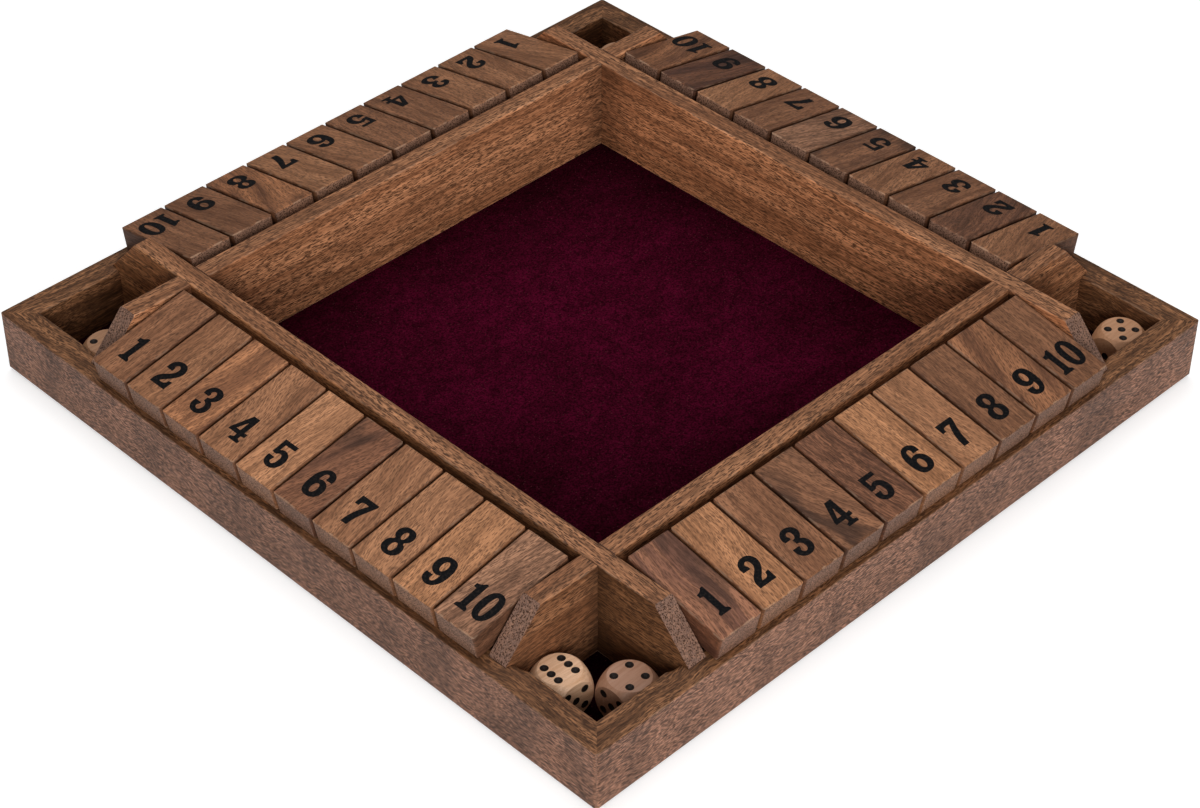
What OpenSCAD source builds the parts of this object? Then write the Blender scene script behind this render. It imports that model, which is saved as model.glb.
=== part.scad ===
// Shut the box game for four players: a shallow square wooden box with a felt well,
// four crossing walls, ten numbered tiles hinged on a rod along each side,
// and a pocket with two dice in each corner.
// Millimetres. Z is up, the origin is on the underside, in the middle of the box.

/* [Frame] */
// Outer side of the square box
side = 341; // [300:1:380]
// Thickness of the frame boards
frame_t = 11.5; // [9:0.5:13]
// Height of the frame boards
frame_h = 29; // [26:0.5:32]
// Rounding of the frame's lower outer edge
foot_r = 3; // [1:0.5:5]
// Rounding of the four upright corners
corner_r = 2; // [0.5:0.25:3]
// Easing of the frame's sharp upper edges
rim_ease = 0.5; // [0.2:0.1:1]
// Round-over of the inner rim beside each row of tiles
round_over = 3; // [1.5:0.25:4]
// Radius of the router's guide bearing, which shapes the end of the round-over
bearing_r = 6; // [4:0.5:9]
// How far the full round-over runs on past the wall's stub
round_over_past = 2; // [1:0.5:4]

/* [Walls] */
// Thickness of the walls
wall_t = 8.75; // [7:0.25:10]
// Height of the walls' top edge above the table
wall_top = 48.25; // [46:0.25:54]
// Easing of the walls' top edges
wall_ease = 0.8; // [0.3:0.1:1.5]
// How deep a wall's end is housed in the frame board
housing = 4.6; // [3:0.2:6]
// Room left at the end of a housing
housing_end = 0.3; // [0.1:0.1:0.6]
// Room left on each side of a housed or crossing wall
joint_slack = 0.1; // [0.05:0.05:0.3]
// Height of a stub's toe above the rim
toe_h = 0.3; // [0.1:0.1:1.5]
// Length of a stub's slope, measured along the wall
slope_run = 17; // [12:0.5:20]

/* [Floor] */
// Thickness of the plywood base panel
base_t = 5; // [3:0.1:6]
// Width of the ledge under the frame that takes the panel
base_seat = 5; // [3:0.5:6]
// Gap round the base panel and the felt
floor_gap = 0.2; // [0.1:0.1:0.6]
// Thickness of the felt
felt_t = 1.4; // [0.8:0.1:2]

/* [Tiles] */
// Distance of the tiles' feet on the rim from the frame's outer face
foot_inset = 3; // [2:0.1:4]
// Thickness of a tile
tile_t = 11.5; // [10.5:0.1:12]
// Gap between neighbouring tiles
tile_gap = 1; // [0.4:0.1:1.4]
// Gap between a row's end tile and the wall beside it
row_end_gap = 1.2; // [0.5:0.1:2]
// Gap between the wall and a tile's upper inner edge
tile_wall_gap = 4.4; // [4.2:0.05:5.5]
// Slope of a resting tile, in degrees
tile_tilt = 11; // [9:0.5:13]
// Rounding of a tile's upper and lower edges
tile_ease = 0.8; // [0.4:0.1:1.5]
// Rounding of a tile's four upright corners
tile_corner = 1.4; // [0.6:0.1:2]
// Gap under the tile's lower edge where it rests on the rim
rest_gap = 0.05; // [0.02:0.01:0.2]

/* [Rods] */
// Diameter of the hinge rods
rod_d = 3; // [2:0.25:4]
// Depth of the blind hole in each wall that holds a rod's end
rod_seat = 5; // [3:0.5:6]
// Radial play of a tile on its rod
rod_play = 0.08; // [0.03:0.01:0.1]
// Distance of the rod's axis from the tile's inner end
rod_in = 6; // [5.5:0.1:7]
// Distance of the rod's axis below the tile's face
rod_down = 6.7; // [6.4:0.1:7.4]

/* [Dice] */
// Side of a die
die_s = 18; // [14:0.5:20]
// Room in a pocket beside two dice
dice_play = 4.25; // [3:0.25:8]
// Least gap between a die and its pocket's sides
die_gap = 0.6; // [0.3:0.1:1]
// Radius of the ball that rounds a die's corners
die_ball_r = 12.1; // [11.5:0.1:14]
// Distance of a corner spot from the middle of its face
pip_step = 3.9; // [3:0.1:4.2]
// Diameter of a spot
pip_d = 2.8; // [2:0.1:3]
// Depth of a spot
pip_depth = 0.6; // [0.3:0.1:0.9]

/* [Hidden] */
SIDES = ["front", "right", "back", "left"];
// Tiles in a row, numbered from 1 up
TILES = 10;
// Two dice to a player
DICE = 2 * len(SIDES);

// Facets of a full circle on the larger and on the smaller round shapes
$fn = 48;
small_fn = 24;
// Overshoot of a cutting shape past the face that it cuts
past = 1;

// The frame's inner face, the pockets beside it, the walls past them and the well within
inner = side / 2 - frame_t;
pocket_w = 2 * die_s + dice_play;
wall_face = inner - pocket_w;
wall_mid = wall_face - wall_t / 2;
well = 2 * (wall_face - wall_t);
wall_end = inner + housing;
floor_z = base_t + felt_t;
toe_z = frame_h + toe_h;
lap_z = (floor_z + wall_top) / 2;
round_over_end = wall_face + round_over_past;

pitch = (well - 2 * row_end_gap + tile_gap) / TILES;
tile_w = pitch - tile_gap;
rod_r = rod_d / 2;
tile_bore_r = rod_r + rod_play;

// Upper inner edge of a resting tile: distance from the box's middle, and height.
// The lower outer edge, eased, rests on the rim, which gives the tile its length.
tile_in = wall_face + tile_wall_gap;
tile_l = (side / 2 - foot_inset - tile_in + tile_t * sin(tile_tilt)) / cos(tile_tilt);
tile_foot_z = frame_h + rest_gap - tile_ease * (sin(tile_tilt) + cos(tile_tilt) - 1);
tile_z = tile_foot_z + tile_l * sin(tile_tilt) + tile_t * cos(tile_tilt);

// The rod's axis, from the resting tile
rod_out = tile_in + rod_in * cos(tile_tilt) - rod_down * sin(tile_tilt);
rod_z = tile_z - rod_in * sin(tile_tilt) - rod_down * cos(tile_tilt);

// Each die: the pocket's quarter, its place as a share of the room on either side of the
// pocket's middle, its turn about Z in degrees, its number on top and the one facing front
pocket = (wall_face + inner) / 2;
die_room = (pocket_w - die_s) / 2 - die_gap;
DIE_PLACES = [
    [[-1, -1], [-0.81, 0.95], -4.5, 6, 5],
    [[-1, -1], [0.62, -0.9], 0.5, 4, 6],
    [[1, -1], [0.88, -0.94], -1.8, 5, 3],
    [[1, -1], [-0.97, 0.97], 2, 2, 1],
    [[1, 1], [0.97, -0.08], 2, 1, 2],
    [[1, 1], [-0.97, -0.97], -1, 6, 3],
    [[-1, 1], [-0.84, -0.84], 0, 3, 2],
    [[-1, 1], [0.97, -0.97], 1, 4, 6]
];

frame_colour = [0.47, 0.30, 0.20];
wall_colour = [0.50, 0.31, 0.19];
tile_colours = [[0.55, 0.37, 0.25], [0.50, 0.32, 0.21], [0.60, 0.41, 0.27]];
panel_colour = [0.72, 0.57, 0.40];
felt_colour = [0.24, 0.02, 0.10];
steel_colour = [0.72, 0.72, 0.73];
dice_colour = [0.83, 0.66, 0.47];

// Waste of a rounding cut at a corner whose solid lies towards -X and -Y
module corner_waste(r) {
    translate([-r, -r]) difference() {
        square(r + past);
        circle(r, $fn = small_fn);
    }
}

// Rectangle from the origin, with its four corners rounded
module eased_rectangle(size, r) {
    difference() {
        square(size);
        translate(size) corner_waste(r);
        translate([0, size.y]) mirror([1, 0]) corner_waste(r);
        translate([size.x, 0]) mirror([0, 1]) corner_waste(r);
        rotate(180) corner_waste(r);
    }
}

// Turns a piece made for the front side to another side of the box
module on_side(s) {
    rotate(search([s], SIDES)[0] * 90) children();
}

// Lays a profile drawn as outward distance and height along the front side
module along_front(length) {
    rotate([0, 0, -90]) rotate([90, 0, 0]) linear_extrude(length, center = true) children();
}

// Waste of the inner rim's round-over, drawn as outward distance and height
module round_over_profile() {
    translate([inner, frame_h]) mirror([1, 0]) corner_waste(round_over);
}

// Section of a frame board, drawn as outward distance and height
module frame_section() {
    difference() {
        translate([inner, 0]) square([frame_t, frame_h]);
        translate([inner - past, -past]) square([base_seat + past, base_t + past]);
        translate([side / 2, 0]) mirror([0, 1]) corner_waste(foot_r);
        translate([side / 2, frame_h]) corner_waste(rim_ease);
        translate([inner, frame_h]) mirror([1, 0]) corner_waste(rim_ease);
    }
}

// Round-over along the tiles, ended at both ends by the router bit's own circle
module rim_round_over() {
    along_front(2 * round_over_end) round_over_profile();
    for (end = [-1, 1])
        translate([end * round_over_end, bearing_r - inner])
            rotate_extrude() translate([bearing_r - inner, 0]) round_over_profile();
}

// Mitred board of the frame, with housings for two wall ends
module frame_board(s) {
    color(frame_colour) on_side(s) difference() {
        intersection() {
            along_front(side) frame_section();
            linear_extrude(frame_h) polygon([[0, 0], [-side, -side], [side, -side]]);
            translate([-side / 2, -side / 2]) linear_extrude(frame_h)
                eased_rectangle([side, side], corner_r);
        }
        for (end = [-1, 1])
            translate([end * wall_mid - wall_t / 2 - joint_slack, -wall_end - housing_end, base_t])
                cube([wall_t + 2 * joint_slack, housing + housing_end + past, frame_h]);
        rim_round_over();
    }
}

// Outline of a wall seen from its broad side: straight ends in the housings, then the slopes
module wall_outline() {
    polygon([
        [-wall_end, floor_z],
        [wall_end, floor_z],
        [wall_end, toe_z],
        [wall_end - slope_run, wall_top],
        [slope_run - wall_end, wall_top],
        [-wall_end, toe_z]
    ]);
}

// Section of a wall, with eased top edges
module wall_section() {
    difference() {
        translate([-wall_t / 2, 0]) square([wall_t, wall_top]);
        translate([wall_t / 2, wall_top]) corner_waste(wall_ease);
        translate([-wall_t / 2, wall_top]) mirror([1, 0]) corner_waste(wall_ease);
    }
}

// Wall as it stands at the front: half-lapped with two others, with a blind hole
// near each end for the hinge rod of the row that meets it there
module wall_at_front(lap_from, lap_to) {
    translate([0, -wall_mid, 0]) difference() {
        intersection() {
            rotate([90, 0, 0]) linear_extrude(wall_t, center = true) wall_outline();
            rotate([90, 0, 90]) linear_extrude(2 * wall_end, center = true) wall_section();
        }
        for (end = [-1, 1]) {
            translate([end * wall_mid - wall_t / 2 - joint_slack, -wall_t / 2 - past, lap_from])
                cube([wall_t + 2 * joint_slack, wall_t + 2 * past, lap_to - lap_from]);
            translate([end * rod_out, wall_t / 2 - rod_seat, rod_z])
                rotate([-90, 0, 0]) cylinder(rod_seat + past, r = rod_r + rod_play);
        }
    }
}

// The front and back walls are notched from above, the left and right ones from below
module wall(s) {
    color(wall_colour) on_side(s)
        if (s == "front" || s == "back")
            wall_at_front(lap_z, wall_top + past);
        else
            wall_at_front(floor_z - past, lap_z);
}

// Plywood panel on the ledge under the frame, flush with its underside
module base_panel() {
    panel = 2 * (inner + base_seat - floor_gap);
    color(panel_colour) translate([-panel / 2, -panel / 2]) cube([panel, panel, base_t]);
}

// One sheet of felt on the panel, under the walls
module felt_lining() {
    sheet = 2 * (inner - floor_gap);
    color(felt_colour) translate([-sheet / 2, -sheet / 2, base_t]) cube([sheet, sheet, felt_t]);
}

// Four steel rods, each with both ends in blind holes of the walls
module hinge_rods() {
    color(steel_colour) for (s = SIDES)
        on_side(s) translate([-well / 2 - rod_seat, -rod_out, rod_z])
            rotate([0, 90, 0]) cylinder(well + 2 * rod_seat, r = rod_r);
}

// Tile with its upper inner edge on the X axis, its face flat and its outer end towards -Y
module tile_block() {
    difference() {
        translate([-tile_w / 2, -tile_l, -tile_t]) intersection() {
            linear_extrude(tile_t) eased_rectangle([tile_w, tile_l], tile_corner);
            translate([0, tile_l]) rotate([90, 0, 0]) linear_extrude(tile_l)
                eased_rectangle([tile_w, tile_t], tile_ease);
            rotate([90, 0, 90]) linear_extrude(tile_w)
                eased_rectangle([tile_l, tile_t], tile_ease);
        }
        translate([-tile_w / 2 - past, -rod_in, -rod_down])
            rotate([0, 90, 0]) cylinder(tile_w + 2 * past, r = tile_bore_r);
    }
}

// Tile number n of a side's row, resting on the rim
module tile(s, n) {
    color(tile_colours[(n * 2 + len(s)) % len(tile_colours)]) on_side(s)
        translate([(n - (TILES + 1) / 2) * pitch, -tile_in, tile_z])
            rotate([tile_tilt, 0, 0]) tile_block();
}

// Places of the spots of a number, in steps from the middle of its face
function spots(number) = concat(
    number % 2 == 1 ? [[0, 0]] : [],
    number > 1 ? [[-1, 1], [1, -1]] : [],
    number > 3 ? [[1, 1], [-1, -1]] : [],
    number == 6 ? [[-1, 0], [1, 0]] : []
);

// Turn that brings a face of the die from the top to its own side: 1 top, 6 bottom,
// 2 front, 5 back, 3 right, 4 left
function face_turn(number) =
    [[0, 0, 0], [90, 0, 0], [0, 90, 0], [0, -90, 0], [-90, 0, 0], [180, 0, 0]][number - 1];

// Wooden die with ball-rounded corners and drilled spots, around the origin
module die_block() {
    drill_r = (pip_d * pip_d / 4 + pip_depth * pip_depth) / (2 * pip_depth);
    difference() {
        intersection() {
            cube(die_s, center = true);
            sphere(die_ball_r);
        }
        for (number = [1 : 6], spot = spots(number))
            rotate(face_turn(number))
                translate([spot.x * pip_step, spot.y * pip_step, die_s / 2 - pip_depth + drill_r])
                    sphere(drill_r, $fn = small_fn);
    }
}

// Turn that puts a number of the die on top
function top_turn(number) =
    [[0, 0, 0], [-90, 0, 0], [0, -90, 0], [0, 90, 0], [90, 0, 0], [180, 0, 0]][number - 1];

// The number that faces front, right, back and left once the number top is up
function ring(top) = [
    [2, 3, 5, 4],
    [6, 3, 1, 4],
    [2, 6, 5, 1],
    [2, 1, 5, 6],
    [1, 3, 6, 4],
    [5, 3, 2, 4]
][top - 1];

// Die number d, standing on the felt of its pocket
module die(d) {
    place = DIE_PLACES[d - 1];
    quarter = search([place[4]], ring(place[3]))[0];
    color(dice_colour)
        translate([
            place[0].x * pocket + place[1].x * die_room,
            place[0].y * pocket + place[1].y * die_room,
            floor_z + die_s / 2
        ])
            rotate(place[2] - quarter * 90) rotate(top_turn(place[3])) die_block();
}

for (s = SIDES) {
    frame_board(s);
    wall(s);
}
base_panel();
felt_lining();
hinge_rods();
for (s = SIDES, n = [1 : TILES])
    tile(s, n);
for (d = [1 : DICE])
    die(d);
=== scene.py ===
import math
import random

import bpy
from mathutils import Matrix, Vector


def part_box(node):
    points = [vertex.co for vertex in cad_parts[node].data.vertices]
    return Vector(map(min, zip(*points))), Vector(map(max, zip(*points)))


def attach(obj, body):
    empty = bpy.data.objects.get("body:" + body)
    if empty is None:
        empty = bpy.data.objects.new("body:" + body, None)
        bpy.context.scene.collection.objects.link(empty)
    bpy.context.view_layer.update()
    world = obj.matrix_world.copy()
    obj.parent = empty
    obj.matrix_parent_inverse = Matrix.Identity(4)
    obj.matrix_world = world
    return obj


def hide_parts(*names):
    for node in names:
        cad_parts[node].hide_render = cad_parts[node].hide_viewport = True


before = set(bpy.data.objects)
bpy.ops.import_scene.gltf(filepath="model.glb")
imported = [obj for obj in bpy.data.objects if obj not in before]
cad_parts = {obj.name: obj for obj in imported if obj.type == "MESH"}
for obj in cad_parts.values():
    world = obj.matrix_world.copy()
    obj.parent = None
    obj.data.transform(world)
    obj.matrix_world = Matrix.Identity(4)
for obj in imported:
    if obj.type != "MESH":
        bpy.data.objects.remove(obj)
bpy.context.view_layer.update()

# Frame: four boards of a dark, open-pored hardwood, planed, mitred and glued at the corners, their
# lower edges rounded over and the whole box oiled. The outer faces are cut across the curl of the
# grain, so they show short wandering pores; their greyish brown, against the more golden rims above
# them, is a painted sheen.
MM_IN_M = 1000
X, Y, Z = range(3)
UP = Vector((0, 0, 1))
OUTWARD = {
    "front": Vector((0, -1, 0)), "right": Vector((1, 0, 0)),
    "back": Vector((0, 1, 0)), "left": Vector((-1, 0, 0)),
}


def put(tree, kind, feeds, **settings):
    """Adds a node, sets it up, and feeds each input with a value or another node's output."""
    made = tree.nodes.new("ShaderNode" + kind)
    for name, value in settings.items():
        setattr(made, name, value)
    for socket, value in feeds.items():
        if isinstance(value, bpy.types.NodeSocket):
            tree.links.new(value, made.inputs[socket])
        else:
            made.inputs[socket].default_value = value
    return made.outputs[0] if made.outputs else None


def maths(tree, operation, *values):
    """One arithmetic step on numbers."""
    return put(tree, "Math", dict(enumerate(values)), operation=operation)


def vectors(tree, operation, *values):
    """One arithmetic step on places, directions or colours."""
    return put(tree, "VectorMath", dict(enumerate(values)), operation=operation)


def along(tree, direction, space):
    """How far a place lies along a direction, or how squarely a surface faces it."""
    return vectors(tree, "DOT_PRODUCT", space, direction).node.outputs["Value"]


def mixed(tree, share, first, second):
    """Mixes two colours, each one a value or another node's output."""
    feeds = {0: share}
    for socket, colour in ((6, first), (7, second)):
        feeds[socket] = colour if isinstance(colour, bpy.types.NodeSocket) else (*colour, 1)
    return put(tree, "Mix", feeds, data_type="RGBA").node.outputs[2]


def ramp(tree, value, low, high, start=0.0, end=1.0):
    """Goes smoothly from start to end as value goes from low to high."""
    feeds = {"Value": value, "From Min": low, "From Max": high, "To Min": start, "To Max": end}
    return put(tree, "MapRange", feeds, interpolation_type="SMOOTHSTEP")


def shaded(tree, colour, factor):
    """A colour made darker or lighter by a factor."""
    return put(tree, "VectorMath", {0: colour, "Scale": factor}, operation="SCALE")


def new_material(name):
    made = bpy.data.materials.new(name)
    made.use_nodes = True
    made.node_tree.nodes.clear()
    return made, made.node_tree


def piece_space(tree, axes, centre):
    """Places on a piece in millimetres from its centre, along its own three axes."""
    place = put(tree, "TexCoord", {}).node.outputs["Object"]
    turn = Matrix(axes)
    return put(tree, "Mapping", {
        "Vector": place,
        "Location": turn @ centre * -MM_IN_M,
        "Rotation": turn.to_euler(),
        "Scale": (MM_IN_M, MM_IN_M, MM_IN_M),
    })


def stretched(tree, space, length, width):
    """A space squeezed so that one unit is that length along the fibres and that width across."""
    return vectors(tree, "MULTIPLY", space, (1 / length, 1 / width, 1 / width))


def streaks(tree, space, length, width, detail=3.0, warp=0.0):
    """Noise drawn out along the fibres, in patches of that length and width in millimetres."""
    place = stretched(tree, space, length, width)
    feeds = {"Vector": place, "Scale": 1.0, "Detail": detail, "Roughness": 0.6, "Distortion": warp}
    return put(tree, "TexNoise", feeds)


def vessels(tree, space, length, width):
    """Distance from the cut pores, each in a cell of that length and width in millimetres."""
    return put(tree, "TexVoronoi", {"Vector": stretched(tree, space, length, width), "Scale": 1.0})


def curled(tree, space, reach, run):
    """Lets the fibres wander sideways by up to about reach millimetres over each run."""
    spread = stretched(tree, space, run, run)
    wave = put(tree, "TexNoise", {"Vector": spread, "Scale": 1.0, "Detail": 1.0}).node.outputs["Color"]
    wave = vectors(tree, "SUBTRACT", wave, (0.5, 0.5, 0.5))
    wave = vectors(tree, "MULTIPLY", wave, (0, 2 * reach, 2 * reach))
    return vectors(tree, "ADD", space, wave)


def facing(tree, direction, low, high, both_ways=True):
    """1 where the surface faces that way, or also the opposite way, 0 where it runs along it."""
    squarely = along(tree, direction, put(tree, "TexCoord", {}).node.outputs["Normal"])
    return ramp(tree, maths(tree, "ABSOLUTE", squarely) if both_ways else squarely, low, high)


def edge_distance(tree, space, half, across):
    """Millimetres from the nearest edge between a block's top or bottom and its faces on one axis."""
    inward = vectors(tree, "SUBTRACT", half, vectors(tree, "ABSOLUTE", space))
    parts = put(tree, "SeparateXYZ", {0: inward}).node.outputs
    return maths(tree, "MAXIMUM", parts[across], parts[Z])


def block(node, axes):
    """Centre and half sizes of a node along the three axes, in metres."""
    points = [vertex.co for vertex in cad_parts[node].data.vertices]
    ends = [(min(p.dot(axis) for p in points), max(p.dot(axis) for p in points)) for axis in axes]
    centre = sum((axis * (lo + hi) / 2 for axis, (lo, hi) in zip(axes, ends)), Vector())
    return centre, Vector([(hi - lo) / 2 for lo, hi in ends])


def dress(node, material):
    """Gives a node of the frame one material all over."""
    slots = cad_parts[node].data.materials
    slots.clear()
    slots.append(material)


PORE = (0.045, 0.018, 0.009)
SOOT = (0.042, 0.020, 0.013)
# Bare wood on rubbed edges, lightened further as a painted highlight
BARE_AND_HIGHLIGHT = (0.50, 0.32, 0.21)

# Length and width in millimetres of what every board has in its grain
CLOUD, THREAD, CROSS_FIGURE, DASH = (40, 15), (5.0, 0.5), (22, 60), (2.5, 0.37)
SPECK, PINHOLE, WORN_AND_HIGHLIT_PATCH = (2.0, 0.6), (2.0, 0.62), (8, 5)

# How far from a board's middle its painted shade runs, and how dark the painted shade is in the corners
# where boards cross
SHADE_RUN = 110
CORNER_PAINTED_SHADE = 0.50


def wood(node, axes, log, light, dark, figure=(160, 9), line=(26, 1.3), lines=0.3, pores=0.7,
         pore=(2.4, 0.72), curl=(2.0, 40), end=(0.30, 0.17, 0.12), side=(1, 1, 1), side_even=0.0,
         side_run=(1.0, 1.0), side_turn=(0.35, 0.8), end_turn=(0.55, 0.72), ripple=0.0, one_side=False,
         corner=None, glint=1.0, reach=(0.25, 0.50), smoke=0.0, slant=0.08, worn_and_highlit=0.3, worn_and_highlit_across=Y):
    """Oiled open-pored hardwood for one board or block, from its own place in the log.

    The axes are the way the fibres run, the way the piece's sides face, and its top. Sizes are pairs
    in millimetres, along the fibres and across: figure for the broad bands from dark to light, line
    for the fine lines in them, pore for each pore's cell, with reach for where in it the pore's edge
    lies. Curl is how far the fibres wander and over what run, slant how far they lean in radians.
    Shares from 0 to 1 are lines for how much the lines stand out, glint for how much of that is left
    to the light ones, pores for how dark the pores are, smoke for sooty clouds, and worn_and_highlit
    for the edges on the axis worn_and_highlit_across, rubbed bare and lightened as a painted highlight,
    where the other edges get half of it. What starts with side or end is for those faces alone: their
    tint or colour, and how squarely a surface has to face that way to be one; the sides' tint is a
    painted sheen, light and shade. The sides, or the first of them with one_side, can be evened out,
    run from one painted shade to another, have a ripple of short cross figure, and a painted shade in
    the corner where boards cross: corner, its place and width.
    """
    made, tree = new_material(f"{node}_wood")
    centre, half = block(node, axes)
    piece = piece_space(tree, axes, centre)
    feeds = {
        "Vector": piece,
        "Location": [log.uniform(200, 900) for _ in range(3)],
        "Rotation": [log.uniform(-0.2, 0.2), log.uniform(-0.05, 0.05), log.uniform(-slant, slant)],
    }
    grain = curled(tree, put(tree, "Mapping", feeds), *curl)

    # Broad bands, sooty clouds, fine lines and finer threads
    band = streaks(tree, grain, *figure, 3.0, 0.5)
    colour = mixed(tree, ramp(tree, band, 0.36, 0.64), dark, light)
    cloud = streaks(tree, grain, *CLOUD, 2.0, 0.4)
    colour = mixed(tree, ramp(tree, cloud, 0.49, 0.64, 0.0, smoke), colour, SOOT)
    drawn = streaks(tree, grain, *line, 4.0)
    gain = lines * glint
    colour = shaded(tree, colour, ramp(tree, drawn, 0.36, 0.62, 1 - lines * 1.2, 1 + gain * 0.8))
    thread = streaks(tree, grain, *THREAD, 2.0)
    colour = shaded(tree, colour, ramp(tree, thread, 0.34, 0.66, 1 - lines, 1 + gain * 0.7))

    # The sides, with the part of the photograph's shade that is painted on them
    on_side = facing(tree, axes[Y], *side_turn, not one_side)
    middle = [(a + b) / 2 for a, b in zip(light, dark)]
    side_with_painted_light = mixed(tree, side_even, colour, middle)
    side_with_painted_light = vectors(tree, "MULTIPLY", side_with_painted_light, side)
    along_board = put(tree, "SeparateXYZ", {0: piece})
    side_with_painted_light = shaded(tree, side_with_painted_light, ramp(tree, along_board, -SHADE_RUN, SHADE_RUN, *side_run))
    # Painted shade in the corner where the walls cross
    if corner:
        shaded_corner_place, corner_shade_width = corner
        off_shaded_corner = maths(tree, "SUBTRACT", maths(tree, "ABSOLUTE", along_board), shaded_corner_place)
        off_shaded_corner = maths(tree, "ABSOLUTE", off_shaded_corner)
        side_with_painted_light = shaded(tree, side_with_painted_light, ramp(tree, off_shaded_corner, 0, corner_shade_width, CORNER_PAINTED_SHADE, 1.0))
    figure_across = streaks(tree, grain, *CROSS_FIGURE, 3.0, 0.3)
    side_with_painted_light = shaded(tree, side_with_painted_light, ramp(tree, figure_across, 0.34, 0.66, 1 - ripple, 1 + ripple * 0.8))
    dash = streaks(tree, grain, *DASH, 1.0)
    side_with_painted_light = shaded(tree, side_with_painted_light, ramp(tree, dash, 0.38, 0.62, 1 - ripple * 2.0, 1 + ripple * 1.6))
    colour = mixed(tree, on_side, colour, side_with_painted_light)

    # Pores cut lengthwise, and on the end grain as pinholes between pale specks
    distance = vessels(tree, grain, *pore)
    hole = ramp(tree, distance, *reach, 1.0, 0.0)
    deep = maths(tree, "MULTIPLY", hole, ramp(tree, band, 0.3, 0.62, pores * 0.6, pores))

    ends = facing(tree, axes[X], *end_turn)
    speck = streaks(tree, grain, *SPECK, 2.0)
    end_grain = shaded(tree, mixed(tree, 0.30, end, colour), ramp(tree, speck, 0.3, 0.7, 0.7, 1.25))
    colour = mixed(tree, ends, colour, end_grain)
    pins = vessels(tree, grain, *PINHOLE)
    pin = maths(tree, "MULTIPLY", ends, ramp(tree, pins, 0.30, 0.48, 1.0, 0.0))
    depth = maths(tree, "MAXIMUM", maths(tree, "MULTIPLY", deep, maths(tree, "SUBTRACT", 1.0, ends)), pin)
    colour = mixed(tree, maths(tree, "MULTIPLY", depth, 0.9), colour, PORE)

    # Edges rubbed bare in patches and lightened as a painted highlight
    wear_and_highlight_patches = streaks(tree, grain, *WORN_AND_HIGHLIT_PATCH, 3.0)
    for across, share in ((worn_and_highlit_across, worn_and_highlit), (X + Y - worn_and_highlit_across, worn_and_highlit * 0.5)):
        from_edge = edge_distance(tree, piece, half * MM_IN_M, across)
        rubbed_and_highlit = maths(tree, "ADD", from_edge, ramp(tree, wear_and_highlight_patches, 0.35, 0.65, -0.2, 0.5))
        rubbed_and_highlit = ramp(tree, rubbed_and_highlit, 0.15, 0.60, share, 0.0)
        colour = mixed(tree, rubbed_and_highlit, colour, BARE_AND_HIGHLIGHT)

    height = maths(tree, "SUBTRACT", maths(tree, "MULTIPLY", thread, 0.4), depth)
    shine = put(tree, "BsdfPrincipled", {
        "Base Color": colour,
        "Roughness": ramp(tree, drawn, 0.3, 0.7, 0.62, 0.50),
        "Normal": put(tree, "Bump", {"Height": height, "Strength": 0.5, "Distance": 0.00012}),
        "Specular IOR Level": 0.20,
    })
    put(tree, "OutputMaterial", {"Surface": shine})
    dress(node, made)


# The outer faces' tint and evenness are a painted sheen, standing for the greyer cast that they have in the
# photograph
log = random.Random(7)
for name, outward in OUTWARD.items():
    wood(f"frame_{name}", (outward.cross(UP), outward, UP), log,
         light=(0.320, 0.145, 0.065), dark=(0.155, 0.066, 0.028), figure=(240, 6), lines=0.36,
         pores=0.95, pore=(3.1, 0.50), reach=(0.32, 0.52), curl=(4.0, 34),
         side=(1.37, 1.53, 2.22), side_even=0.88, ripple=0.31, one_side=True, worn_and_highlit=0.2)

# Base: a plain plywood panel, let into the ledge under the frame and glued. It shows only from
# below, as pale rotary-cut veneer with long soft figure.
BOX_AXES = (Vector((1, 0, 0)), Vector((0, 1, 0)), UP)
wood("base_panel", BOX_AXES, log,
     light=(0.560, 0.370, 0.205), dark=(0.430, 0.265, 0.135), figure=(320, 22), lines=0.10,
     pores=0.25, curl=(9.0, 120), end=(0.40, 0.26, 0.15), worn_and_highlit=0.1)

# Felt: one sheet of burgundy velvet-pile felt, cut to the inside of the frame and glued to the
# base before the walls go in. Its pile lies in soft patches, lighter where it stands up.
PILE_DIP = 0.00006
EDGE_DROP = 0.0003
FELT_STEPS = 96
NEAR_WALL, CREASE, WALL_FOOT = 45, 112, 120
FRONT_SHADE, BACK_SHADE = (-110, 30), (70, 150)
PILE_DARK = (0.0360, 0.0011, 0.0074)
PILE_LIGHT = (0.0560, 0.0016, 0.0122)
LINT = (0.110, 0.030, 0.035)


def add_object(name, data):
    """A new object in the scene, for a mesh, lamp or camera."""
    made = bpy.data.objects.new(name, data)
    bpy.context.scene.collection.objects.link(made)
    return made


low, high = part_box("felt_lining")
size = high - low
hills = random.Random(11)
waves = [(hills.uniform(20, 70), hills.uniform(0, 6.3), hills.uniform(20, 70), hills.uniform(0, 6.3))
         for _ in range(6)]
points = []
row = FELT_STEPS + 1
for i in range(row):
    for j in range(row):
        x, y = i / FELT_STEPS - 0.5, j / FELT_STEPS - 0.5
        dip = sum(math.sin(a * x + b) * math.sin(c * y + d) for a, b, c, d in waves) / len(waves)
        edge = min(1.0, (0.5 - max(abs(x), abs(y))) * FELT_STEPS)
        z = high.z - PILE_DIP * (1 + dip) - EDGE_DROP * (1 - edge)
        points.append((low.x + (x + 0.5) * size.x, low.y + (y + 0.5) * size.y, z))
faces = [(i * row + j, (i + 1) * row + j, (i + 1) * row + j + 1, i * row + j + 1)
         for i in range(FELT_STEPS) for j in range(FELT_STEPS)]
rim = list(range(row)) + [i * row + FELT_STEPS for i in range(1, row)]
rim += [FELT_STEPS * row + j for j in range(FELT_STEPS - 1, -1, -1)]
rim += [i * row for i in range(FELT_STEPS - 1, 0, -1)]
bottom = len(points)
points += [(points[k][0], points[k][1], low.z) for k in rim]
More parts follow.
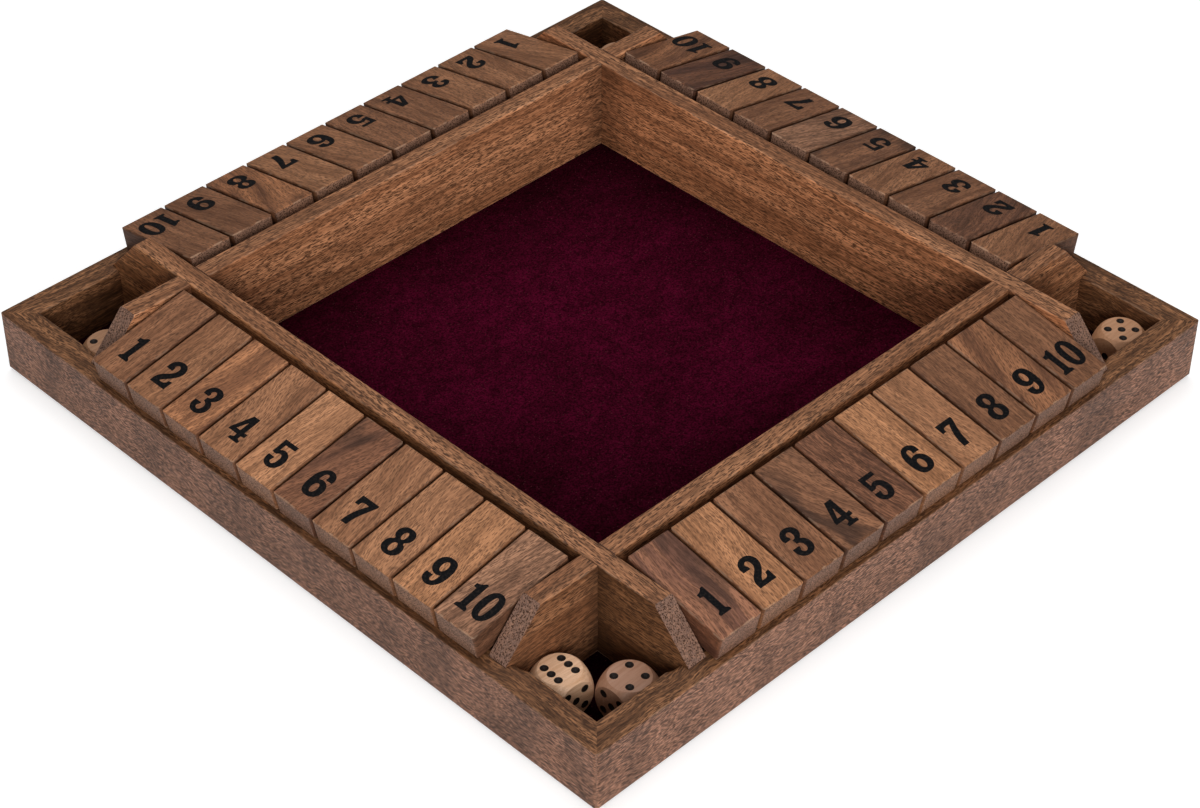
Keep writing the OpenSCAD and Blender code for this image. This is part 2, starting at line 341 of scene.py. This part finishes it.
for k in range(len(rim)):
    after = (k + 1) % len(rim)
    faces.append((rim[k], rim[after], bottom + after, bottom + k))
faces.append(tuple(range(bottom, bottom + len(rim))))
felt_mesh = bpy.data.meshes.new("felt_sheet")
felt_mesh.from_pydata(points, [], faces)
felt_mesh.validate()
felt = add_object("felt_sheet", felt_mesh)
for polygon in felt_mesh.polygons:
    polygon.use_smooth = len(polygon.vertices) == 4

pile, tree = new_material("velvet_pile")
place = piece_space(tree, BOX_AXES, Vector())
patches = streaks(tree, place, 70, 55, 4.0, 1.0)
brushed = streaks(tree, place, 9, 6, 4.0, 0.8)
tufts = streaks(tree, place, 0.75, 0.75, 2.0)
colour = mixed(tree, ramp(tree, patches, 0.30, 0.70), PILE_DARK, PILE_LIGHT)

# Shade of the photograph that is painted in: towards the walls, in their crease, and towards the
# front and the back corner, all in millimetres from the middle
from_middle = put(tree, "SeparateXYZ", {0: vectors(tree, "ABSOLUTE", place)})
from_middle = maths(tree, "MAXIMUM", from_middle, from_middle.node.outputs[1])
colour = shaded(tree, colour, ramp(tree, from_middle, NEAR_WALL, CREASE, 1.04, 0.62))
colour = shaded(tree, colour, ramp(tree, from_middle, CREASE, WALL_FOOT, 1.0, 0.5))
front_to_back = along(tree, (0.7, 0.7, 0), place)
colour = shaded(tree, colour, ramp(tree, front_to_back, *FRONT_SHADE, 0.66, 1.05))
colour = shaded(tree, colour, ramp(tree, front_to_back, *BACK_SHADE, 1.0, 0.6))

colour = shaded(tree, colour, ramp(tree, brushed, 0.32, 0.68, 0.78, 1.20))
colour = shaded(tree, colour, ramp(tree, tufts, 0.32, 0.68, 0.45, 1.7))
lint = ramp(tree, vessels(tree, place, 2.4, 1.8), 0.06, 0.20, 0.5, 0.0)
colour = mixed(tree, lint, colour, LINT)
height = maths(tree, "ADD", tufts, brushed)
velvet = put(tree, "BsdfPrincipled", {
    "Base Color": colour,
    "Roughness": 0.95,
    "Normal": put(tree, "Bump", {"Height": height, "Strength": 0.5, "Distance": 0.0004}),
    "Specular IOR Level": 0.02,
    "Sheen Weight": 0.03,
    "Sheen Roughness": 0.4,
    "Sheen Tint": (0.60, 0.05, 0.20, 1),
})
put(tree, "OutputMaterial", {"Surface": velvet})
felt_mesh.materials.append(pile)
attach(felt, "box")
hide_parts("felt_lining")

# Walls: four boards of the same hardwood, quarter-sawn with bold lines, half-lapped where they
# cross and housed in the frame. Their sloped ends are bare end grain, pinkish and speckled.

# The side that the photograph shows of each wall, with its light and shade there painted on: the tint,
# the run of painted shade from one end to the other, and the place and width of the painted shade in
# the corners at the crossings
WALL_FACES = {
    "front": (OUTWARD["front"], (0.77, 0.75, 0.72), (1.5, 1.0), (119, 10)),
    "right": (-OUTWARD["right"], (1.55, 1.43, 1.35), (1.0, 1.0), (110, 26)),
    "back": (-OUTWARD["back"], (1.50, 1.45, 1.43), (1.0, 1.0), (110, 18)),
    "left": (OUTWARD["left"], (0.47, 0.45, 0.39), (1.0, 2.4), (119, 12)),
}
for name, (face, tint, run, corner) in WALL_FACES.items():
    wood(f"wall_{name}", (face.cross(UP), face, UP), log,
         light=(0.535, 0.244, 0.118), dark=(0.330, 0.138, 0.063), figure=(230, 5.5), line=(60, 1.0),
         lines=0.34, pores=0.98, pore=(3.4, 0.56), reach=(0.31, 0.48), curl=(2.2, 60),
         end=(0.215, 0.138, 0.112), side=tint, side_run=run, one_side=True,
         corner=corner, glint=0.55, worn_and_highlit=0.25)

# Rods: bright drawn steel, one along each side through the tiles' bores, their ends in blind
# holes of the crossing walls. They show only when a tile is lifted.
STEEL_DARK, STEEL_LIGHT = (0.50, 0.50, 0.51), (0.66, 0.66, 0.66)
steel, tree = new_material("drawn_steel")
place = piece_space(tree, BOX_AXES, Vector())
scratches = streaks(tree, place, 4, 0.08, 2.0)
brushed_steel = put(tree, "BsdfPrincipled", {
    "Base Color": mixed(tree, scratches, STEEL_DARK, STEEL_LIGHT),
    "Metallic": 1.0,
    "Roughness": ramp(tree, scratches, 0.3, 0.7, 0.26, 0.42),
})
put(tree, "OutputMaterial", {"Surface": brushed_steel})
dress("hinge_rods", steel)

# Tiles: forty blocks sawn from offcuts of the same wood, so their tones vary from one to the next.
# Each is sanded with softly eased edges, bored across for the rod, and printed with its number.
TILE_TONES = {
    "purple": dict(light=(0.370, 0.160, 0.086), dark=(0.180, 0.076, 0.047), smoke=0.55),
    "soot": dict(light=(0.205, 0.084, 0.043), dark=(0.095, 0.038, 0.023), smoke=0.5, pores=0.75),
    "dark": dict(light=(0.215, 0.089, 0.046), dark=(0.122, 0.049, 0.026), lines=0.32),
    "dusk": dict(light=(0.245, 0.104, 0.054), dark=(0.125, 0.052, 0.028), smoke=0.4, slant=0.5),
    "ashen": dict(light=(0.270, 0.112, 0.057), dark=(0.145, 0.059, 0.032), smoke=0.6, slant=0.3),
    "umber": dict(light=(0.245, 0.108, 0.053), dark=(0.170, 0.072, 0.035)),
    "smoky": dict(light=(0.300, 0.133, 0.066), dark=(0.190, 0.082, 0.042), smoke=0.75, slant=0.5),
    "brown": dict(light=(0.320, 0.142, 0.070), dark=(0.205, 0.086, 0.041)),
    "mid": dict(light=(0.390, 0.177, 0.086), dark=(0.255, 0.109, 0.051), slant=0.3),
    "gold": dict(light=(0.440, 0.203, 0.098), dark=(0.315, 0.140, 0.066), slant=0.2),
    "orange": dict(light=(0.480, 0.218, 0.100), dark=(0.330, 0.144, 0.064)),
    "pale": dict(light=(0.560, 0.262, 0.128), dark=(0.395, 0.178, 0.084)),
    "ember": dict(light=(0.500, 0.215, 0.098), dark=(0.240, 0.098, 0.045), slant=0.3),
    "flame": dict(light=(0.430, 0.180, 0.080), dark=(0.165, 0.066, 0.031), slant=0.3),
    "streaked": dict(light=(0.340, 0.145, 0.067), dark=(0.150, 0.061, 0.030), slant=0.4),
    "grey": dict(light=(0.360, 0.178, 0.100), dark=(0.225, 0.105, 0.058), lines=0.30, slant=0.3),
}
ROW_TONES = {
    "front": "purple orange brown smoky dark orange gold umber streaked umber",
    "right": "mid dusk brown mid smoky grey brown gold soot streaked",
    "back": "mid mid mid brown brown mid gold flame brown brown",
    "left": "brown mid ember mid pale ashen mid gold orange grey",
}

# Shade of the photograph that is painted on: two rows are lighter, and all flanks are dark, as they
# look in the gaps between the tiles
ROW_LIGHTNESS = {"front": 1.14, "right": 1.0, "back": 1.0, "left": 1.14}
FLANK_TINT = (0.44, 0.40, 0.38)
NEARLY_LEVEL = 0.9


def tile_axes(node, outward):
    """Down the tile's slope, across it, and square to its face."""
    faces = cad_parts[node].data.polygons
    top = max((face for face in faces if face.normal.z > NEARLY_LEVEL), key=lambda face: face.area)
    normal = top.normal.normalized()
    down = (outward - normal * outward.dot(normal)).normalized()
    return down, normal.cross(down), normal


for name, tones in ROW_TONES.items():
    for number, tone in enumerate(tones.split(), start=1):
        node = f"tile_{name}_{number}"
        looks = dict(lines=0.20, slant=0.14, pores=0.70, figure=(90, log.uniform(4, 9)), pore=(2.6, 0.50))
        looks.update(TILE_TONES[tone])
        for shade in ("light", "dark"):
            looks[shade] = [part * ROW_LIGHTNESS[name] for part in looks[shade]]
        wood(node, tile_axes(node, OUTWARD[name]), log, curl=(3.5, 34), end=(0.280, 0.160, 0.112),
             side=FLANK_TINT, side_turn=(0.15, 0.60), end_turn=(0.80, 0.95), worn_and_highlit=0.5,
             worn_and_highlit_across=X, **looks)

# Numbers: black ink, stamped on each tile with its top towards the well. The digits are fat slab
# serif figures; a nine is a six turned over, and a ten sets a one and a nought side by side.
CORNER, ROUND = "VECTOR", "AUTO"
CAP_HEIGHT = 13.4
RING_POINTS = 16


def ring(centre_x, centre_y, half_width, half_height, square=2.0):
    """Points round an ellipse in millimetres; square above 2 fills out its shoulders."""
    points = []
    for k in range(RING_POINTS):
        angle = 2 * math.pi * k / RING_POINTS
        c, s = math.cos(angle), math.sin(angle)
        x = centre_x + half_width * math.copysign(abs(c) ** (2 / square), c)
        y = centre_y + half_height * math.copysign(abs(s) ** (2 / square), s)
        points.append((x, y, ROUND))
    return points


DIGITS = {
    "0": [ring(0, 6.7, 4.3, 6.8, 2.25), ring(0, 6.7, 1.38, 5.0, 2.3)],
    "1": [[
        (-2.65, 0, CORNER), (2.65, 0, CORNER), (2.62, 0.9, ROUND), (2.0, 1.4, ROUND),
        (1.38, 1.9, CORNER), (1.38, 13.3, CORNER), (0.35, 13.3, CORNER), (-0.6, 12.4, ROUND),
        (-1.7, 11.8, ROUND), (-2.85, 11.6, CORNER), (-2.85, 10.15, CORNER), (-1.38, 10.0, CORNER),
        (-1.38, 1.9, CORNER), (-2.0, 1.4, ROUND), (-2.62, 0.9, ROUND)]],
    "2": [[
        (-4.2, 0, CORNER), (3.9, 0, CORNER), (4.0, 4.2, CORNER), (2.35, 3.9, CORNER),
        (1.9, 2.6, ROUND), (0.9, 2.0, ROUND), (-1.4, 1.95, CORNER), (-0.5, 3.2, ROUND),
        (1.4, 4.95, ROUND), (3.2, 7.0, ROUND), (4.2, 9.2, ROUND), (4.1, 11.2, ROUND),
        (2.7, 13.1, ROUND), (0.2, 13.75, ROUND), (-2.7, 12.8, ROUND), (-4.1, 10.7, ROUND),
        (-4.2, 8.5, CORNER), (-0.95, 8.4, CORNER), (-1.0, 9.5, ROUND), (-1.5, 10.5, ROUND),
        (-1.0, 11.4, ROUND), (0.05, 11.8, ROUND), (1.05, 11.1, ROUND), (1.3, 9.7, ROUND),
        (0.9, 8.2, ROUND), (-0.2, 6.9, ROUND), (-2.9, 4.6, ROUND), (-3.9, 3.1, ROUND),
        (-4.2, 1.6, ROUND)]],
    "3": [[
        (-3.9, 8.9, CORNER), (-4.15, 10.2, ROUND), (-3.5, 12.0, ROUND), (-2.0, 13.35, ROUND),
        (-0.1, 13.8, ROUND), (2.2, 13.3, ROUND), (3.7, 12.0, ROUND), (4.05, 10.4, ROUND),
        (3.5, 8.8, ROUND), (1.95, 7.3, CORNER), (3.4, 6.2, ROUND), (4.2, 4.2, ROUND),
        (3.9, 2.1, ROUND), (2.4, 0.55, ROUND), (0.05, -0.05, ROUND), (-2.5, 0.6, ROUND),
        (-3.8, 2.0, ROUND), (-4.15, 3.4, ROUND), (-4.15, 4.8, CORNER), (-0.95, 4.8, CORNER),
        (-1.15, 4.0, ROUND), (-1.6, 3.0, ROUND), (-1.1, 2.05, ROUND), (0.05, 1.7, ROUND),
        (1.1, 2.4, ROUND), (1.5, 3.9, ROUND), (1.1, 5.3, ROUND), (0.2, 6.0, ROUND),
        (-0.75, 6.3, CORNER), (-0.75, 8.0, CORNER), (0.35, 8.3, ROUND), (1.1, 9.2, ROUND),
        (1.3, 10.4, ROUND), (0.9, 11.5, ROUND), (-0.2, 11.95, ROUND), (-1.2, 11.4, ROUND),
        (-1.5, 10.5, ROUND), (-1.05, 9.7, ROUND), (-1.25, 8.85, CORNER)]],
    "4": [[
        (-0.65, 13.0, CORNER), (2.6, 13.0, CORNER), (2.65, 4.95, CORNER), (4.35, 5.2, CORNER),
        (4.35, 3.5, CORNER), (2.65, 3.3, CORNER), (2.65, 1.75, CORNER), (3.3, 1.3, ROUND),
        (4.1, 1.05, CORNER), (4.1, 0, CORNER), (-1.0, 0, CORNER), (-1.0, 1.05, CORNER),
        (-0.2, 1.3, ROUND), (0.55, 1.75, CORNER), (0.55, 3.3, CORNER), (-4.35, 3.3, CORNER),
        (-4.35, 4.3, CORNER)],
        [(0.3, 10.1, CORNER), (0.3, 5.05, CORNER), (-2.15, 5.05, CORNER)]],
    "5": [[
        (-4.1, 13.1, CORNER), (3.0, 13.1, CORNER), (3.0, 11.35, CORNER), (-2.15, 11.2, CORNER),
        (-2.15, 7.95, CORNER), (-1.1, 8.7, ROUND), (0.35, 9.0, ROUND), (2.4, 8.3, ROUND),
        (3.7, 6.7, ROUND), (4.1, 4.5, ROUND), (3.6, 2.2, ROUND), (2.2, 0.5, ROUND),
        (0, -0.1, ROUND), (-2.4, 0.5, ROUND), (-3.7, 1.9, ROUND), (-4.1, 3.3, ROUND),
        (-4.1, 4.45, CORNER), (-1.15, 4.5, CORNER), (-1.3, 3.5, ROUND), (-1.5, 2.7, ROUND),
        (-1.1, 2.0, ROUND), (0, 1.65, ROUND), (0.95, 2.6, ROUND), (1.3, 4.5, ROUND),
        (0.95, 6.3, ROUND), (-0.15, 7.05, ROUND), (-1.2, 6.75, ROUND), (-1.85, 6.2, CORNER),
        (-3.95, 6.2, CORNER)]],
    "6": [[
        (-4.5, 6.5, ROUND), (-4.2, 9.5, ROUND), (-2.9, 12.1, ROUND), (-1.15, 13.35, ROUND),
        (0.5, 13.6, ROUND), (2.5, 13.0, ROUND), (3.7, 11.8, ROUND), (4.0, 10.6, ROUND),
        (3.95, 9.4, CORNER), (0.95, 9.4, CORNER), (1.1, 10.5, ROUND), (0.8, 11.4, ROUND),
        (0, 11.75, ROUND), (-1.0, 11.2, ROUND), (-1.5, 9.8, ROUND), (-1.6, 7.8, CORNER),
        (-0.4, 8.35, ROUND), (0.6, 8.45, ROUND), (2.7, 7.8, ROUND), (4.1, 6.2, ROUND),
        (4.5, 4.2, ROUND), (4.1, 2.1, ROUND), (2.6, 0.5, ROUND), (0, -0.15, ROUND),
        (-2.8, 0.6, ROUND), (-4.1, 2.9, ROUND)],
        ring(0.1, 4.15, 1.55, 2.45)],
    "7": [[
        (-4.3, 13.1, CORNER), (4.35, 13.1, CORNER), (4.3, 12.2, ROUND), (3.6, 10.5, ROUND),
        (2.3, 7.4, ROUND), (1.2, 4.1, ROUND), (0.75, 1.8, ROUND), (0.6, 0, CORNER),
        (-2.2, 0, CORNER), (-1.95, 2.9, ROUND), (-1.05, 6.1, ROUND), (0.25, 8.9, ROUND),
        (1.5, 10.9, CORNER), (-1.4, 10.9, ROUND), (-2.3, 10.35, ROUND), (-2.55, 9.0, CORNER),
        (-4.3, 9.0, CORNER)]],
    "8": [[
        (0.1, 13.5, ROUND), (2.8, 12.8, ROUND), (3.95, 10.7, ROUND), (3.4, 8.5, ROUND),
        (2.2, 7.05, ROUND), (3.7, 5.7, ROUND), (4.3, 3.6, ROUND), (3.5, 1.3, ROUND),
        (0, -0.1, ROUND), (-3.5, 1.2, ROUND), (-4.4, 3.6, ROUND), (-3.8, 5.7, ROUND),
        (-2.3, 7.0, ROUND), (-3.5, 8.5, ROUND), (-3.95, 10.6, ROUND), (-2.7, 12.75, ROUND)],
        ring(0.1, 9.75, 1.25, 1.95), ring(0, 3.75, 1.5, 2.25)],
}
TURNED_OVER = CAP_HEIGHT + 0.05
DIGITS["9"] = [[(-x, TURNED_OVER - y, bend) for x, y, bend in line] for line in DIGITS["6"]]
TEN_SHIFTS = (-4.72, 3.35)
INK_DEPTH = 0.03
INK_SPREAD = 0.12
number_shapes = {}


def number_shape(number):
    """The printed figure as a mesh in metres, its baseline's middle at the origin."""
    if number in number_shapes:
        return number_shapes[number]
    shifts = TEN_SHIFTS if number == "10" else (0,)
    drawn = bpy.data.curves.new("number", "CURVE")
    drawn.dimensions = "2D"
    drawn.fill_mode = "BOTH"
    drawn.resolution_u = 5
    drawn.bevel_depth = INK_SPREAD / MM_IN_M
    for digit, shift in zip(number, shifts):
        for line in DIGITS[digit]:
            spline = drawn.splines.new("BEZIER")
            spline.bezier_points.add(len(line) - 1)
            spline.use_cyclic_u = True
            for point, (x, y, bend) in zip(spline.bezier_points, line):
                point.co = ((x + shift) / MM_IN_M, y / MM_IN_M, 0)
                point.handle_left_type = bend
                point.handle_right_type = bend
    shape = add_object("number", drawn)
    bpy.context.view_layer.update()
    solid = shape.evaluated_get(bpy.context.evaluated_depsgraph_get())
    number_shapes[number] = bpy.data.meshes.new_from_object(solid)
    number_shapes[number].transform(Matrix.Diagonal((1, 1, INK_DEPTH / (2 * INK_SPREAD), 1)))
    bpy.data.objects.remove(shape)
    return number_shapes[number]


BLACK_INK, THIN_INK = (0.0030, 0.0030, 0.0038), (0.020, 0.014, 0.012)
ink, tree = new_material("number_ink")
place = piece_space(tree, BOX_AXES, Vector())
mottle = streaks(tree, place, 1.1, 1.1, 3.0)
grit = streaks(tree, place, 0.4, 0.4, 2.0)
printed = put(tree, "BsdfPrincipled", {
    "Base Color": mixed(tree, ramp(tree, mottle, 0.45, 0.75), BLACK_INK, THIN_INK),
    "Roughness": ramp(tree, mottle, 0.3, 0.7, 0.66, 0.52),
    "Normal": put(tree, "Bump", {"Height": grit, "Strength": 0.4, "Distance": 0.00008}),
    "Specular IOR Level": 0.08,
})
put(tree, "OutputMaterial", {"Surface": printed})

# Where each row was stamped: the first number's margin from the tile's outer end and how it changes
# from tile to tile, then the same for its drift to one side
STAMP = {"front": (7.9, -0.13, -0.1, 0.0), "right": (6.7, 0.10, 0.6, 0.07),
         "back": (6.0, 0.0, 0.65, -0.03), "left": (7.6, -0.11, -0.5, 0.17)}
for name, (margin, margin_step, drift, drift_step) in STAMP.items():
    for number in range(1, 11):
        node = f"tile_{name}_{number}"
        down, across, normal = tile_axes(node, OUTWARD[name])
        centre, half = block(node, (down, across, normal))
        inward = (margin + margin_step * (number - 1)) / MM_IN_M
        sideways = (drift + drift_step * (number - 1)) / MM_IN_M
        film_middle = half.z + INK_DEPTH / 4 / MM_IN_M
        origin = centre + down * (half.x - inward) + across * sideways + normal * film_middle
        printed_number = add_object(f"number_{name}_{number}", number_shape(str(number)))
        turn = Matrix((across, -down, normal)).transposed().to_4x4()
        printed_number.matrix_world = Matrix.Translation(origin) @ turn
        if not printed_number.data.materials:
            printed_number.data.materials.append(ink)
        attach(printed_number, node)

# Dice: pale close-grained hardwood, turned to rounded corners in a tumbler, with a shallow drilled
# hollow for each spot, painted black a little past its edge. Two lie in each corner pocket.
DIE_HALF, SPOT_STEP, HOLLOW_R, HOLLOW_DEPTH = 9.0, 3.9, 1.4, 0.6
PAINT_R, PAINT_THICK, PAINT_TAPER, PAINT_POINTS = 1.62, 0.03, 0.06, 20
FOUND_WITHIN = HOLLOW_DEPTH * 0.6
DIE_DARK, DIE_LIGHT, FLECK = (0.76, 0.435, 0.248), (0.93, 0.600, 0.385), (0.27, 0.15, 0.08)
BLACK_PAINT, THIN_PAINT = (0.008, 0.005, 0.004), (0.024, 0.014, 0.010)

# The pockets' shade in the photograph is painted on every die but the first; turns are in degrees
DIE_POCKET_SHADES = {2: (0.52, 0.44, 0.44), 3: (0.66, 0.55, 0.48), 4: (0.66, 0.55, 0.48), 5: (0.62, 0.54, 0.50),
             6: (0.62, 0.54, 0.50), 7: (0.54, 0.45, 0.39), 8: (0.54, 0.45, 0.39)}
DIE_TURNS = {1: -4.5, 2: 0.5, 3: -1.8, 4: 2, 5: 2, 6: -1, 7: 0, 8: 1}

paint, tree = new_material("spot_paint")
place = piece_space(tree, BOX_AXES, Vector())
grit = streaks(tree, place, 0.5, 0.5, 2.0)
painted = put(tree, "BsdfPrincipled", {
    "Base Color": mixed(tree, ramp(tree, grit, 0.4, 0.7), BLACK_PAINT, THIN_PAINT),
    "Roughness": ramp(tree, grit, 0.3, 0.7, 0.62, 0.5),
    "Normal": put(tree, "Bump", {"Height": grit, "Strength": 0.3, "Distance": 0.00006}),
    "Specular IOR Level": 0.2,
})
put(tree, "OutputMaterial", {"Surface": painted})


def paint_dab(points, faces, centre, across, upward, outward):
    """One closed film of paint that lines a hollow and laps a little over its edge."""
    ball = (HOLLOW_R ** 2 + HOLLOW_DEPTH ** 2) / (2 * HOLLOW_DEPTH)
    profile = [(r, ball - HOLLOW_DEPTH - math.sqrt(ball ** 2 - r ** 2)) for r in (0.0, 0.55, 1.0, HOLLOW_R)]
    lip = PAINT_R - PAINT_TAPER
    rows = [(r, z + PAINT_THICK) for r, z in profile] + [(lip, PAINT_THICK), (PAINT_R, 0.0)]
    rows += [(lip, -PAINT_THICK)] + [(r, z - PAINT_THICK) for r, z in reversed(profile)]
    first = len(points)
    for r, z in rows:
        for k in range(PAINT_POINTS if r else 1):
            angle = 2 * math.pi * k / PAINT_POINTS
            flat = across * (r * math.cos(angle)) + upward * (r * math.sin(angle))
            points.append(centre + (flat + outward * z) / MM_IN_M)
    starts = [first] + [first + 1 + PAINT_POINTS * k for k in range(len(rows) - 1)]
    for k in range(PAINT_POINTS):
        after = (k + 1) % PAINT_POINTS
        faces.append((starts[0], starts[1] + k, starts[1] + after))
        for one, two in zip(starts[1:-2], starts[2:-1]):
            faces.append((one + k, two + k, two + after, one + after))
        faces.append((starts[-2] + after, starts[-2] + k, starts[-1]))


for number, turn in DIE_TURNS.items():
    node = f"die_{number}"
    low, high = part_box(node)
    centre = (low + high) / 2
    made, tree = new_material(f"dice_wood_{number}")
    place = put(tree, "TexCoord", {}).node.outputs["Object"]
    own = vectors(tree, "SUBTRACT", place, centre)
    own = put(tree, "VectorRotate", {"Vector": own, "Angle": math.radians(-turn)}, rotation_type="Z_AXIS")
    own = vectors(tree, "MULTIPLY", own, (MM_IN_M, MM_IN_M, MM_IN_M))
    space = vectors(tree, "ADD", own, [log.uniform(0, 90) for _ in range(3)])
    grain = streaks(tree, space, 14, 1.1, 4.0, 0.4)
    flecks = streaks(tree, space, 1.6, 0.22, 2.0)
    colour = mixed(tree, ramp(tree, grain, 0.3, 0.7), DIE_DARK, DIE_LIGHT)
    # Painted shade of the die's pocket, on every die but the first
    colour = vectors(tree, "MULTIPLY", colour, DIE_POCKET_SHADES.get(number, (1, 1, 1)))
    colour = mixed(tree, ramp(tree, flecks, 0.58, 0.72, 0.0, 0.4), colour, FLECK)
    height = maths(tree, "SUBTRACT", grain, flecks)
    shine = put(tree, "BsdfPrincipled", {
        "Base Color": colour,
        "Roughness": ramp(tree, grain, 0.3, 0.7, 0.46, 0.38),
        "Normal": put(tree, "Bump", {"Height": height, "Strength": 0.25, "Distance": 0.0001}),
    })
    put(tree, "OutputMaterial", {"Surface": shine})
    dress(node, made)

    spin = Matrix.Rotation(math.radians(turn), 3, "Z")
    drilled = [(vertex.co - centre) * MM_IN_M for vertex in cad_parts[node].data.vertices]
    points, faces = [], []
    for way in (X, Y, Z):
        for sign in (1, -1):
            axis = spin @ Vector([sign if k == way else 0 for k in range(3)])
            first = spin @ Vector([1 if k == (way + 1) % 3 else 0 for k in range(3)])
            second = axis.cross(first)
            for i in (-1, 0, 1):
                for j in (-1, 0, 1):
                    face_point = axis * DIE_HALF + (first * i + second * j) * SPOT_STEP
                    bottom = face_point - axis * HOLLOW_DEPTH
                    if min((point - bottom).length for point in drilled) < FOUND_WITHIN:
                        paint_dab(points, faces, centre + face_point / MM_IN_M, first, second, axis)
    spots_mesh = bpy.data.meshes.new(f"spots_{number}")
    spots_mesh.from_pydata(points, [], faces)
    spots_mesh.validate()
    for polygon in spots_mesh.polygons:
        polygon.use_smooth = True
    spots_mesh.materials.append(paint)
    spots = add_object(f"spots_{number}", spots_mesh)
    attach(spots, node)

# Studio: a pale floor that goes to white for the camera and keeps the shadow, a large soft light
# above the box and a low one beside the camera, so gaps and pockets stay dark.
FLOOR_REACH = 6.0
FLOOR_GAP = 0.0002
floor_mesh = bpy.data.meshes.new("studio_floor")
corners = [(x * FLOOR_REACH, y * FLOOR_REACH, 0) for x, y in ((-1, -1), (1, -1), (1, 1), (-1, 1))]
floor_mesh.from_pydata(corners, [], [(0, 1, 2, 3)])
floor = add_object("studio_floor", floor_mesh)
floor.location.z = -FLOOR_GAP
paper, tree = new_material("studio_paper")
matt = put(tree, "BsdfDiffuse", {"Color": (0.25, 0.25, 0.25, 1)})
bright = put(tree, "BsdfDiffuse", {"Color": (0.92, 0.92, 0.92, 1)})
glow = put(tree, "Emission", {"Color": (1, 1, 1, 1), "Strength": 0.50})
bright = put(tree, "AddShader", {0: bright, 1: glow})
rays = put(tree, "LightPath", {}).node.outputs
seen = maths(tree, "MAXIMUM", rays["Is Camera Ray"], rays["Is Glossy Ray"])
seen = maths(tree, "MAXIMUM", seen, rays["Is Transmission Ray"])
surface = put(tree, "MixShader", {0: seen, 1: matt, 2: bright})
put(tree, "OutputMaterial", {"Surface": surface})
floor_mesh.materials.append(paper)

world = bpy.data.worlds.new("studio")
bpy.context.scene.world = world
world.use_nodes = True
tree = world.node_tree
tree.nodes.clear()
rays = put(tree, "LightPath", {}).node.outputs
seen = maths(tree, "MAXIMUM", rays["Is Camera Ray"], rays["Is Transmission Ray"])
glow = put(tree, "Background", {"Color": (1, 1, 1, 1), "Strength": ramp(tree, seen, 0.0, 1.0, 0.16, 1.0)})
put(tree, "OutputWorld", {"Surface": glow})


def softbox(name, azimuth, elevation, distance, width, power):
    """A square area light that faces the box's middle."""
    a, e = math.radians(azimuth), math.radians(elevation)
    toward = Vector((math.sin(a) * math.cos(e), -math.cos(a) * math.cos(e), math.sin(e)))
    lamp = bpy.data.lights.new(name, "AREA")
    lamp.size = width
    lamp.energy = power
    light = add_object(name, lamp)
    light.location = toward * distance
    light.rotation_mode = "QUATERNION"
    light.rotation_quaternion = toward.to_track_quat("Z", "Y")


softbox("overhead_softbox", azimuth=143, elevation=78, distance=1.7, width=1.4, power=14.1)
softbox("front_softbox", azimuth=-37, elevation=18, distance=1.7, width=1.0, power=19.8)

# Camera: a long lens in front of one corner, looking down on the box, level but for a third of a
# degree, as the photograph was taken.
LENS, SENSOR_WIDTH, DISTANCE = 86.2, 36, 1.1579
AIM_HEIGHT, AIM_RIGHT, AIM_DOWN = 0.022, 0.0001, 0.0298
view_azimuth, view_elevation, view_roll = (math.radians(v) for v in (-44.96, 39.61, 0.34))
back = Vector((math.sin(view_azimuth) * math.cos(view_elevation),
               -math.cos(view_azimuth) * math.cos(view_elevation), math.sin(view_elevation)))
level = Vector((math.cos(view_azimuth), math.sin(view_azimuth), 0))
upright = back.cross(level)
right = level * math.cos(view_roll) + upright * math.sin(view_roll)
top = upright * math.cos(view_roll) - level * math.sin(view_roll)
aim = Vector((0, 0, AIM_HEIGHT)) + right * AIM_RIGHT - top * AIM_DOWN
camera = add_object("camera", bpy.data.cameras.new("camera"))
camera.data.lens = LENS
camera.data.sensor_width = SENSOR_WIDTH
turn = Matrix((right, top, back)).transposed().to_4x4()
camera.matrix_world = Matrix.Translation(aim + back * DISTANCE) @ turn
bpy.context.scene.camera = camera
bpy.context.scene.view_settings.view_transform = "Standard"
